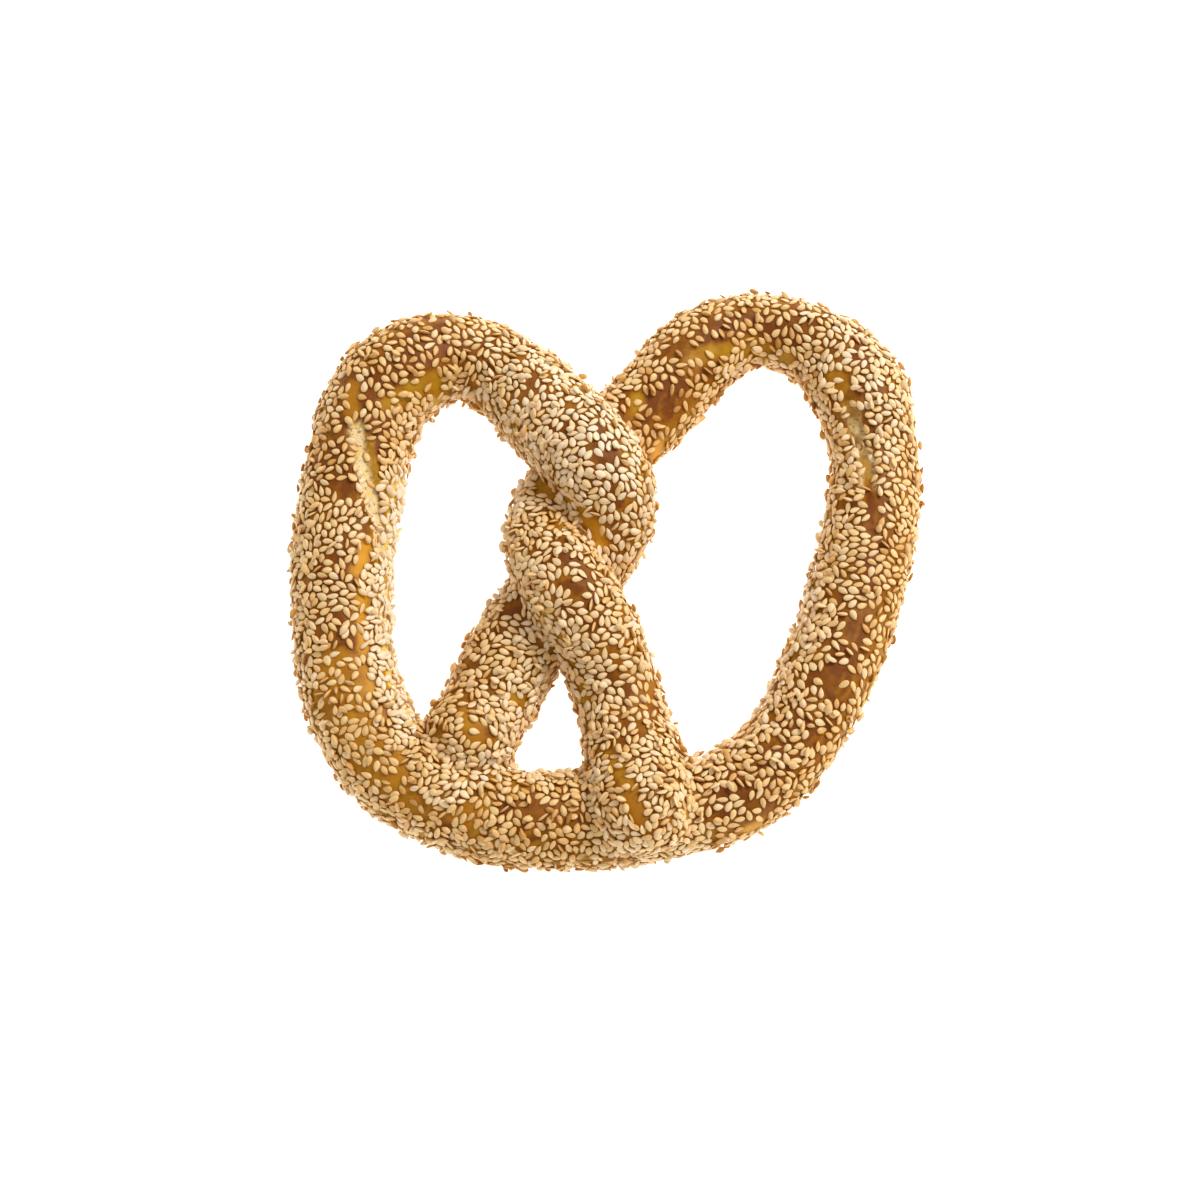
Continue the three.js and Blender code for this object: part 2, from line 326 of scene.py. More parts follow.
def spline(points, step):
    """Centripetal spline through rows of numbers, sampled about every `step`, with the distance along."""
    p = np.array(points, float)
    p = np.vstack([2 * p[0] - p[1], p, 2 * p[-1] - p[-2]])
    rows = []
    for i in range(1, len(p) - 2):
        a, b, c, d = p[i - 1 : i + 3]
        before, here, after = (max(np.linalg.norm(v), 1e-9) ** 0.5 for v in (b - a, c - b, d - c))
        start = ((b - a) / before - (c - a) / (before + here) + (c - b) / here) * here
        end = ((c - b) / here - (d - b) / (here + after) + (d - c) / after) * here
        t = np.linspace(0, 1, 60, endpoint=False)[:, None]
        rows.append(
            (2 * t**3 - 3 * t**2 + 1) * b
            + (t**3 - 2 * t**2 + t) * start
            + (3 * t**2 - 2 * t**3) * c
            + (t**3 - t**2) * end
        )
    rows = np.vstack([*rows, p[-2]])
    along = np.r_[0, np.cumsum(np.linalg.norm(np.diff(rows, axis=0), axis=1))]
    evenly = np.linspace(0, along[-1], int(along[-1] / step) + 1)
    return evenly, np.stack([np.interp(evenly, along, rows[:, k]) for k in range(rows.shape[1])], 1)


def rope_line(step=ROPE_STEP):
    """Distance along the rope, its centre and its half width, in mm."""
    along, rows = spline(LEFT_STRAND + LOOPS + RIGHT_STRAND, step)
    lift = np.zeros(len(along))
    for x, y, climb, rise, descent in CLIMBS:
        at = along[np.argmin(np.hypot(rows[:, 0] - x, rows[:, 1] - y))]
        away = np.abs(along - at) / np.where(along < at, rise, descent)
        lift += np.where(away < 1, climb * (1 + np.cos(np.pi * away)) / 2, 0)
    half = rows[:, 2] / 2
    height = half * FLATNESS - BASE_FLAT + lift
    centre = np.stack([rows[:, 0] - OUTLINE_MIDDLE[0], rows[:, 1] - OUTLINE_MIDDLE[1], height], 1)
    return along, centre, half


def unit(v):
    return v / np.maximum(np.linalg.norm(v, axis=-1, keepdims=True), 1e-12)


def noise_at(points, size, offset=0.0):
    """Smooth noise of about -1 to 1, with lumps of about `size` mm, at each point in mm."""
    shift = Vector((offset, 1.7 * offset, -0.6 * offset))
    return np.array([noise.noise(Vector(p) / size + shift) for p in points])


def new_mesh(name, points, faces_by_sides):
    """A mesh from points in mm and one array of faces for each number of sides."""
    mesh = bpy.data.meshes.new(name)
    loops = np.concatenate([f.ravel() for f in faces_by_sides])
    totals = np.concatenate([np.full(len(f), f.shape[1]) for f in faces_by_sides])
    mesh.vertices.add(len(points))
    mesh.vertices.foreach_set("co", (np.asarray(points, np.float32) * MM).ravel())
    mesh.loops.add(len(loops))
    mesh.loops.foreach_set("vertex_index", loops.astype(np.int32))
    mesh.polygons.add(len(totals))
    mesh.polygons.foreach_set("loop_start", np.r_[0, np.cumsum(totals)[:-1]].astype(np.int32))
    mesh.polygons.foreach_set("loop_total", totals.astype(np.int32))
    mesh.update(calc_edges=True)
    mesh.polygons.foreach_set("use_smooth", np.ones(len(totals), bool))
    return mesh


def new_piece(name, mesh, material):
    """The mesh as a piece of the pretzel, with its material, riding on the part's one body."""
    piece = bpy.data.objects.new(name, mesh)
    bpy.context.scene.collection.objects.link(piece)
    mesh.materials.append(material)
    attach(piece, "root")
    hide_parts(NODE)
    return piece


def set_attribute(mesh, name, values):
    mesh.attributes.new(name, "FLOAT", "POINT").data.foreach_set("value", np.asarray(values, np.float32))


# ------------ the dough


def tube(centre, across, up, half, round_start, round_end):
    """A closed skin round a stretch of rope: points in mm, and faces."""
    gaps = np.r_[0, np.cumsum(np.linalg.norm(np.diff(centre, axis=0), axis=1))]
    swell = np.ones(len(centre))
    if round_start:
        swell *= np.sqrt(1 - (1 - np.clip(gaps / half[0], 0, 1)) ** 2)
    if round_end:
        swell *= np.sqrt(1 - (1 - np.clip((gaps[-1] - gaps) / half[-1], 0, 1)) ** 2)
    swell = np.maximum(swell, 0.01)  # the very ends stay a hair wide, so that no face is lost
    sides = ROPE_SIDES
    turn = np.linspace(0, 2 * np.pi, sides, endpoint=False)
    wide = (half * swell)[:, None, None]
    ring = centre[:, None] + wide * (
        np.cos(turn)[None, :, None] * across[:, None] + FLATNESS * np.sin(turn)[None, :, None] * up[:, None]
    )
    points = np.vstack([ring.reshape(-1, 3), centre[0], centre[-1]])
    count = len(centre)
    r, s = np.meshgrid(np.arange(count - 1), np.arange(sides), indexing="ij")
    n = (s + 1) % sides
    below, above = r * sides, (r + 1) * sides
    quads = np.stack([below + s, above + s, above + n, below + n], -1).reshape(-1, 4)
    s = np.arange(sides)
    n = (s + 1) % sides
    first, last = count * sides, count * sides + 1
    start = np.stack([np.full(sides, first), s, n], 1)
    end = np.stack([np.full(sides, last), (count - 1) * sides + n, (count - 1) * sides + s], 1)
    return points, quads, np.vstack([start, end])


def voxel_skin(mesh, voxel):
    """The one outer skin of a mesh's overlapping shells: points in mm, and its quads."""
    shell = bpy.data.objects.new("rough_rope", mesh)
    bpy.context.scene.collection.objects.link(shell)
    remesh = shell.modifiers.new("skin", "REMESH")
    remesh.mode = "VOXEL"
    remesh.voxel_size = voxel
    whole = bpy.data.meshes.new_from_object(shell.evaluated_get(bpy.context.evaluated_depsgraph_get()))
    points = np.empty(len(whole.vertices) * 3, np.float32)
    whole.vertices.foreach_get("co", points)
    quads = np.empty(len(whole.loops), np.int32)
    whole.loops.foreach_get("vertex_index", quads)
    bpy.data.objects.remove(shell)
    bpy.data.meshes.remove(mesh)
    bpy.data.meshes.remove(whole)
    return points.reshape(-1, 3).astype(float) / MM, quads.reshape(-1, 4)


def neighbour_mean(values, edges):
    """For each point, the mean of its neighbours' rows."""
    total = np.zeros_like(values)
    count = np.bincount(edges.ravel(), minlength=len(values)).astype(float)
    for k in range(values.shape[1]):
        total[:, k] = np.bincount(edges[:, 0], values[edges[:, 1], k], len(values))
        total[:, k] += np.bincount(edges[:, 1], values[edges[:, 0], k], len(values))
    return total / np.maximum(count, 1)[:, None]


def point_normals(points, quads):
    """Outward normals of the points of a quad mesh."""
    a, b, c, d = (points[quads[:, k]] for k in range(4))
    face = np.cross(c - a, d - b)
    total = np.zeros_like(points)
    for corner in range(4):
        for k in range(3):
            total[:, k] += np.bincount(quads[:, corner], face[:, k], len(points))
    return unit(total)


class Dough:
    """The bare dough: its points in mm, quads, normals, and a tree that finds the nearest point."""

    def __init__(self, settings):
        along, centre, half = rope_line()
        half = half - settings.inset / MM
        forward = unit(np.gradient(centre, axis=0))
        across = unit(np.cross(forward, [0, 0, 1]))
        up = np.cross(across, forward)
        left_top, right_top = (
            np.argmin(np.hypot(*(centre[:, :2] + OUTLINE_MIDDLE - end[:2]).T))
            for end in (LOOPS[0], LOOPS[-1])
        )
        points, quads, tris = [], [], []
        last = len(along) - 1
        loops = (left_top - JOIN_OVERLAP, right_top + JOIN_OVERLAP)
        for start, end in ((0, left_top), loops, (right_top, last)):
            s = slice(start, end + 1)
            p, q, t = tube(centre[s], across[s], up[s], half[s], start == 0, end == last)
            so_far = sum(map(len, points))
            points.append(p)
            quads.append(q + so_far)
            tris.append(t + so_far)
        rough = new_mesh("rough_rope", np.vstack(points), [np.vstack(quads), np.vstack(tris)])
        self.points, self.quads = voxel_skin(rough, settings.grain)
        self.edges = np.unique(
            np.sort(np.vstack([self.quads[:, [k, (k + 1) % 4]] for k in range(4)]), axis=1), axis=0
        )
        self.centre, self.half = centre, half
        self.directions = across, up
        for _ in range(settings.fusing):
            self.points += 0.5 * (neighbour_mean(self.points, self.edges) - self.points)
        self.places = self.on_rope(self.points)
        self.roughen(settings)
        self.normals = point_normals(self.points, self.quads)
        self.tree = BVHTree.FromPolygons(self.points.tolist(), self.quads.tolist())

    def on_rope(self, points):
        """Where points lie: distance along the rope, and distance round it from its top, in mm."""
        across, up = self.directions
        rows = []
        for part in np.array_split(points, max(1, len(points) // 4000)):
            away = part[:, None] - self.centre[None]
            nearest = np.argmin(np.linalg.norm(away, axis=2) - self.half, axis=1)
            away = away[np.arange(len(part)), nearest]
            angle = np.arctan2(
                np.sum(away * across[nearest], axis=1), np.sum(away * up[nearest], axis=1) / FLATNESS
            )
            rows.append(np.stack([nearest * ROPE_STEP, angle * ROPE_RADIUS], 1))
        return np.vstack(rows)

    def tear(self, points, places):
        """Depth to which the crust is torn at each point, with a raised lip at the tear's edge."""
        depth = np.zeros(len(points))
        # Bubbles in the crumb, of about 1.3 and 2.6 mm.
        crumb = noise_at(points, 1.3, 3) + 0.6 * noise_at(points, 2.6, 8)
        for stroke in BARE_PLACES:
            if stroke[7]:
                edge = stroke_edge(stroke, points, places)
                inside = np.clip(1 - edge / 1.5, 0, 1)
                depth += stroke[7] * (inside + 0.35 * inside * crumb - 0.3 * np.exp(-((edge - 1.6) ** 2)))
        return depth

    def roughen(self, settings):
        """The hand-rolled rope is a little lumpy, and flat where it lies on the tray."""
        normals = point_normals(self.points, self.quads)
        # Broad lumps of about 17 mm with lesser ones of 7 mm on them.
        lumps = noise_at(self.points, 17) + 0.45 * noise_at(self.points, 7, 5)
        self.torn = self.tear(self.points, self.places)
        raised = lumps * settings.swell / MM - self.torn
        self.points += normals * raised[:, None]
        self.points[:, 2] = np.maximum(self.points[:, 2], settings.base_gap / MM)

    def nearest(self, points):
        """The nearest places on the crust, and the smooth normals there."""
        places, faces = np.empty_like(points), np.empty(len(points), int)
        for i, p in enumerate(points):
            place, _, faces[i], _ = self.tree.find_nearest(Vector(p))
            places[i] = place
        return places, unit(self.normals[self.quads[faces]].mean(1))

    def scatter(self, per_mm2, random):
        """Random points on the crust, evenly over its area, with about that many on each mm2."""
        a, b, c, d = (self.points[self.quads[:, k]] for k in range(4))
        area = 0.5 * np.linalg.norm(np.cross(c - a, d - b), axis=1)
        count = int(area.sum() * per_mm2)
        face = random.choice(len(area), count, p=area / area.sum())
        u, v = random.random((2, count, 1))
        return (a[face] * (1 - u) + b[face] * u) * (1 - v) + (d[face] * (1 - u) + c[face] * u) * v


def stroke_distance(stroke, places):
    """Distance in mm of each place on the rope from a stroke's line."""
    start, end = (np.array([s, math.radians(angle) * ROPE_RADIUS]) for s, angle in (stroke[:2], stroke[2:4]))
    run = end - start
    share = np.clip((places - start) @ run / (run @ run), 0, 1)
    return np.hypot(*(places - start - share[:, None] * run).T)


def stroke_edge(stroke, points, places):
    """Distance in mm of each point outside a bare stroke's ragged edge; below 0 inside it."""
    away = stroke_distance(stroke, places)
    near = away < NEAR_STROKE
    edge = np.full(len(points), 99.0)
    # The edge is ragged by tongues of about 4.5 mm and nicks of about 1.8 mm.
    edge[near] = away[near] - stroke[4]
    edge[near] += 0.9 * noise_at(points[near], 4.5, 20) + 0.5 * noise_at(points[near], 1.8, 30)
    return edge


def coat_zones(places):
    """For each place on the rope: the share of seeds, and how much darker crust and seeds are painted, partly
    browning and partly painted light and shade.
    """
    fields = np.zeros((3, len(places)))
    for *stroke, fade, seeds, baked, toasted in ZONES:
        away = stroke_distance(stroke, places) / fade
        inside = 0.5 + 0.5 * np.cos(np.pi * np.clip(away, 0, 1))
        fields += inside * np.array([seeds - 1, baked, toasted])[:, None]
    return fields[0] + 1, fields[1], fields[2]


def bare_places(points, places):
    """For each point: the share of seeds left there, how much of a bare place's look it has, and
    how baked and how glowing that look is."""
    seeds = np.ones(len(points))
    strength, baked, glow = np.zeros((3, len(points)))
    for stroke in BARE_PLACES:
        inside = np.clip(0.5 - stroke_edge(stroke, points, places) / 2.0, 0, 1)
        bake_and_shade, shine = LOOKS[stroke[6]]
        seeds = np.minimum(seeds, 1 - (1 - stroke[5]) * inside)
        baked += (bake_and_shade - baked) * inside
        glow += (shine - glow) * inside
        strength = np.maximum(strength, inside)
    return seeds, strength, baked, glow


# ------------ materials


def add_node(tree, kind, settings=None, links=None):
    """Adds a node, sets its values and properties, and links sockets into it."""
    node = tree.nodes.new(kind)
    for name, value in (settings or {}).items():
        if isinstance(name, int) or name in node.inputs:
            node.inputs[name].default_value = value
        else:
            setattr(node, name, value)
    for name, source in (links or {}).items():
        tree.links.new(source, node.inputs[name])
    return node


def set_ramp(node, stops, interpolation="EASE"):
    """Colour stops of a ramp: (place, colour)."""
    ramp = node.color_ramp
    ramp.interpolation = interpolation
    while len(ramp.elements) < len(stops):
        ramp.elements.new(0.5)
    for element, (place, shade) in zip(ramp.elements, stops):
        element.position = place
        element.color = (*shade, 1)


def new_material(name):
    material = bpy.data.materials.new(name)
    material.use_nodes = True
    material.node_tree.nodes.clear()
    return material, material.node_tree


def crust_material(settings):
    """Lean bread crust, baked: smooth where it stretched, browner on top and paler on the side walls and in
    the folds, partly from baking and partly as painted light and shade, with its gloss varying in blotches.
    Steam in the oven leaves it satin, and fine wrinkles and dents show between the seeds."""
    material, tree = new_material("baked_bread_crust")
    place = add_node(tree, "ShaderNodeTexCoord").outputs["Object"]
    bake_and_shade, glow, torn = (
        add_node(tree, "ShaderNodeAttribute", {"attribute_name": name}).outputs["Fac"]
        for name in ("bake_and_shade", "glow", "torn")
    )
    # Browning comes in blotches of about 5 mm, with specks of about 1 mm.
    blotch = add_node(tree, "ShaderNodeTexNoise", {"Scale": 1 / (5 * MM), "Detail": 4.0}, {"Vector": place})
    speck = add_node(tree, "ShaderNodeTexNoise", {"Scale": 1 / (1.1 * MM), "Detail": 2.0}, {"Vector": place})
    shade = bake_and_shade
    for weight, source in ((0.9, blotch), (0.22, speck)):
        mixing = {"operation": "MULTIPLY_ADD", 1: weight}
        shade = add_node(tree, "ShaderNodeMath", mixing, {0: source.outputs["Fac"], 2: shade}).outputs[0]
    # Half of what the blotches and specks add is taken off again, so that they darken and lighten.
    shade = add_node(tree, "ShaderNodeMath", {"operation": "SUBTRACT", 1: 0.56}, {0: shade}).outputs[0]
    ramp = add_node(tree, "ShaderNodeValToRGB", links={"Fac": shade})
    stops = [(0.0, settings.pale), (0.2, settings.olive), (0.6, settings.golden), (0.95, settings.brown)]
    set_ramp(ramp, stops, "LINEAR")
    blend = {"data_type": "RGBA", "blend_type": "MIX"}
    glowing = {**blend, 7: (*settings.amber, 1)}
    shade = add_node(tree, "ShaderNodeMix", glowing, {0: glow, 6: ramp.outputs["Color"]})
    # Where the crust tore, open crumb shows: pale walls round darker pores of about 1.2 mm.
    pore = add_node(tree, "ShaderNodeTexNoise", {"Scale": 1 / (1.2 * MM), "Detail": 3.0}, {"Vector": place})
    crumb = add_node(tree, "ShaderNodeValToRGB", links={"Fac": pore.outputs["Fac"]})
    set_ramp(crumb, [(0.36, settings.pore), (0.46, settings.crumb), (0.66, settings.pale)])
    opened = {0: torn, 6: shade.outputs[2], 7: crumb.outputs["Color"]}
    shade = add_node(tree, "ShaderNodeMix", blend, opened)
    gloss = add_node(
        tree, "ShaderNodeMapRange", {"To Min": 0.4, "To Max": 0.6}, {"Value": blotch.outputs["Fac"]}
    )
    # Wrinkles of about 0.6 mm, and dents of about 2.4 mm where seeds have pressed in or fallen off.
    creased = {"Scale": 1 / (0.6 * MM), "Detail": 3.0, "Roughness": 0.6}
    wrinkle = add_node(tree, "ShaderNodeTexNoise", creased, {"Vector": place})
    dent = add_node(
        tree, "ShaderNodeTexVoronoi", {"Scale": 1 / (2.4 * MM), "feature": "SMOOTH_F1"}, {"Vector": place}
    )
    hollow = add_node(tree, "ShaderNodeMath", {"operation": "MULTIPLY"}, {0: torn, 1: pore.outputs["Fac"]})
    relief = dent.outputs["Distance"]
    for weight, source in ((0.35, wrinkle.outputs["Fac"]), (1.5, hollow.outputs[0])):
        mixing = {"operation": "MULTIPLY_ADD", 1: weight}
        relief = add_node(tree, "ShaderNodeMath", mixing, {0: source, 2: relief}).outputs[0]
    raised = {"Strength": 0.7, "Distance": 0.4 * MM}
    bump = add_node(tree, "ShaderNodeBump", raised, {"Height": relief})
    skin = add_node(
        tree,
        "ShaderNodeBsdfPrincipled",
        {
            "IOR": 1.45,
            "Specular IOR Level": 0.22,
            "Subsurface Weight": 0.12,
            "Subsurface Radius": (1.0, 0.6, 0.3),
            "Subsurface Scale": 1.2 * MM,
        },
        {
            "Base Color": shade.outputs[2],
            "Roughness": gloss.outputs["Result"],
            "Normal": bump.outputs["Normal"],
        },
    )
    add_node(tree, "ShaderNodeOutputMaterial", links={"Surface": skin.outputs["BSDF"]})
    return material


def seed_material(name, settings):
    """Hulled sesame seed, dried and toasted in the oven: an ivory, waxy and slightly translucent kernel that
    yellows from cream to tan, darkest at its toasted tip, with painted shade on its lower rim where it meets
    the crust."""
    material, tree = new_material(name)
    place = add_node(tree, "ShaderNodeTexCoord").outputs["Object"]
    tone, tip, rim_shade = (
        add_node(tree, "ShaderNodeAttribute", {"attribute_name": name}).outputs["Fac"]
        for name in ("tone", "tip", "rim_shade")
    )
    # The kernel's mottling is finer than the render shows, so it is drawn at 0.7 mm.
    mottle = add_node(tree, "ShaderNodeTexNoise", {"Scale": 1 / (0.7 * MM), "Detail": 2.0}, {"Vector": place})
    shade = tone
    # Mottling and the toasted tip are the seed's own colour; the rim shade is painted shade, darkening the
    # lower rim where the seed meets the crust.
    for weight, source in ((0.34, mottle.outputs["Fac"]), (0.3, tip), (0.42, rim_shade)):
        mixing = {"operation": "MULTIPLY_ADD", 1: weight}
        shade = add_node(tree, "ShaderNodeMath", mixing, {0: source, 2: shade}).outputs[0]
    shade = add_node(tree, "ShaderNodeMath", {"operation": "SUBTRACT", 1: 0.2}, {0: shade}).outputs[0]
    ramp = add_node(tree, "ShaderNodeValToRGB", links={"Fac": shade})
    stops = [(0.0, settings.ivory), (0.38, settings.cream), (0.72, settings.tan), (1.0, settings.toasted)]
    set_ramp(ramp, stops, "LINEAR")
    gloss = add_node(
        tree, "ShaderNodeMapRange", {"To Min": 0.36, "To Max": 0.5}, {"Value": mottle.outputs["Fac"]}
    )
    grain = add_node(tree, "ShaderNodeTexNoise", {"Scale": 1 / (0.35 * MM), "Detail": 1.0}, {"Vector": place})
    bump = add_node(
        tree, "ShaderNodeBump", {"Strength": 0.35, "Distance": 0.08 * MM}, {"Height": grain.outputs["Fac"]}
    )
    kernel = add_node(
        tree,
        "ShaderNodeBsdfPrincipled",
        {
            "IOR": 1.47,
            "Specular IOR Level": 0.5,
            "Subsurface Weight": 0.3,
            "Subsurface Radius": (1.0, 0.7, 0.4),
            "Subsurface Scale": 0.5 * MM,
        },
        {
            "Base Color": ramp.outputs["Color"],
            "Roughness": gloss.outputs["Result"],
            "Normal": bump.outputs["Normal"],
        },
    )
    add_node(tree, "ShaderNodeOutputMaterial", links={"Surface": kernel.outputs["BSDF"]})
    return material


def floor_material(settings):
    """Matt painted board, plain and pale."""
    material, tree = new_material("matt_painted_board")
    place = add_node(tree, "ShaderNodeTexCoord").outputs["Object"]
    roller = add_node(tree, "ShaderNodeTexNoise", {"Scale": 1 / (3 * MM), "Detail": 2.0}, {"Vector": place})
    bump = add_node(
        tree, "ShaderNodeBump", {"Strength": 0.04, "Distance": 0.05 * MM}, {"Height": roller.outputs["Fac"]}
    )
    paint = add_node(
        tree,
        "ShaderNodeBsdfPrincipled",
        {
            "Base Color": (*settings.floor, 1),
            "Roughness": 0.9,
            "Specular IOR Level": 0.2,
            "Emission Color": (1, 1, 1, 1),
            "Emission Strength": settings.table,
        },
        {"Normal": bump.outputs["Normal"]},
    )
    add_node(tree, "ShaderNodeOutputMaterial", links={"Surface": paint.outputs["BSDF"]})
    return material


# ------------ the seeds

PROUD_MM = 0.5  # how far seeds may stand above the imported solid
RANDOM_SEED = 11
FIRST_KEPT = 0.9  # share of the first layer's places that get a seed, times the zone's share
FIRST_STEPS = 30  # rounds of pushing apart, in which overlapping seeds find room
UPPER_STEPS = 8  # fewer for the seeds on top, which lie more loosely
MOST_ROOM = 1.2  # how much room a seed takes at most where the coat is thin, times its own width
FIRST_FULL, UPPER_FULL = 1.5, 0.75  # how full each layer is before its gaps; over 1 narrows them
ZONE_PULL = 3  # how strongly the upper layer follows the zones' shares
MOST_LEFT = 0.97  # share of seeds that stuck where no gap is
TRAY_REACH_MM = 1.2  # seeds lower than this lie pressed flat between dough and tray
LOWEST_MM = 0.02  # clearance of the lowest seeds over the tray
SEED_SIDES = 8
SEED_RINGS = (0.07, 0.24, 0.48, 0.74, 0.93)  # shares of the length, from the pointed tip


def seed_form(plump=1.0, taper=1.35, bend=0.0, twist=0.0, dent=0.0):
    """One seed of length, width and thickness 1 along x, with its narrower tip at -0.5: points, each point's
    share of the length, and how much painted shade each takes, rising down the flank to the lower rim. taper
    narrows the tip, bend curls the seed upwards, twist sideways, and dent sinks its upper face."""
    u = np.array(SEED_RINGS)
    wide = 0.5 * np.sin(np.pi * u**taper) ** 0.55
    deep = 0.5 * np.sin(np.pi * u ** (0.9 * taper)) ** 0.5 * plump
    turn = np.linspace(0, 2 * np.pi, SEED_SIDES, endpoint=False)
    x = np.repeat((u - 0.5)[:, None], SEED_SIDES, 1)
    y = wide[:, None] * np.cos(turn)
    z = deep[:, None] * np.sign(np.sin(turn)) * np.abs(np.sin(turn)) ** 0.75
    z = z - dent * np.clip(np.sin(turn), 0, 1) ** 2 * deep[:, None]
    points = np.vstack([np.stack([x, y, z], -1).reshape(-1, 3), [-0.5, 0, 0], [0.5, 0, 0]])
    points[:, 2] += bend * (4 * points[:, 0] ** 2 - 0.4)
    points[:, 1] += twist * (4 * points[:, 0] ** 2 - 0.4)
    # Painted shade, darkest on the lower rim and the underside, standing in for the shadow where the seed
    # meets the crust.
    rim_shade = np.clip(0.55 - 1.6 * np.sin(turn), 0, 1)
    return points, np.r_[np.repeat(u, SEED_SIDES), 0, 1], np.r_[np.tile(rim_shade, len(u)), 0.6, 0.5]


def seed_faces():
    """Quads and triangles of one seed, and where each corner lies on its own little flat map."""
    rings, sides = len(SEED_RINGS), SEED_SIDES
    s = np.arange(sides)
    n = (s + 1) % sides

    def on_map(corners):
        return np.stack([np.stack([np.full(sides, u), v / sides], 1) for u, v in corners], 1)

    quads, quad_map = [], []
    for r in range(rings - 1):
        quads.append(np.stack([r * sides + s, r * sides + n, (r + 1) * sides + n, (r + 1) * sides + s], 1))
        low, high = SEED_RINGS[r], SEED_RINGS[r + 1]
        quad_map.append(on_map([(low, s), (low, s + 1), (high, s + 1), (high, s)]))
    tip, end, last = rings * sides, rings * sides + 1, (rings - 1) * sides
    tris = [np.stack([np.full(sides, tip), n, s], 1), np.stack([np.full(sides, end), last + s, last + n], 1)]
    tri_map = [
        on_map([(0.0, s + 0.5), (SEED_RINGS[0], s + 1), (SEED_RINGS[0], s)]),
        on_map([(1.0, s + 0.5), (SEED_RINGS[-1], s), (SEED_RINGS[-1], s + 1)]),
    ]
    return np.vstack(quads), np.vstack(quad_map), np.vstack(tris), np.vstack(tri_map)


# name, share of the seeds, form, size against the typical seed, tone and its spread
SEED_KINDS = [
    ("plump", 0.21, {"plump": 1.1}, (0.96, 1.03, 1.05), 0.26, 0.07),
    ("oval", 0.17, {"taper": 1.2}, (0.94, 0.98, 1.0), 0.28, 0.07),
    ("flat", 0.20, {"plump": 0.9, "dent": 0.3}, (1.0, 1.04, 0.9), 0.30, 0.07),
    ("slender", 0.15, {"taper": 1.5}, (1.06, 0.86, 0.95), 0.31, 0.08),
    ("toasted", 0.15, {"plump": 0.95, "dent": 0.2}, (0.96, 0.95, 0.95), 0.46, 0.10),
    ("curled", 0.12, {"plump": 0.8, "bend": 0.16, "twist": 0.06}, (1.02, 0.87, 0.8), 0.37, 0.11),
]


def pairs_within(points, reach):
    """Index pairs of points closer together than reach."""
    tree = KDTree(len(points))
    for i, p in enumerate(points):
        tree.insert(Vector(p), i)
    tree.balance()
    pairs = [(i, j) for i, p in enumerate(points) for _, j, _ in tree.find_range(Vector(p), reach) if j > i]
    return np.array(pairs, int).reshape(-1, 2)


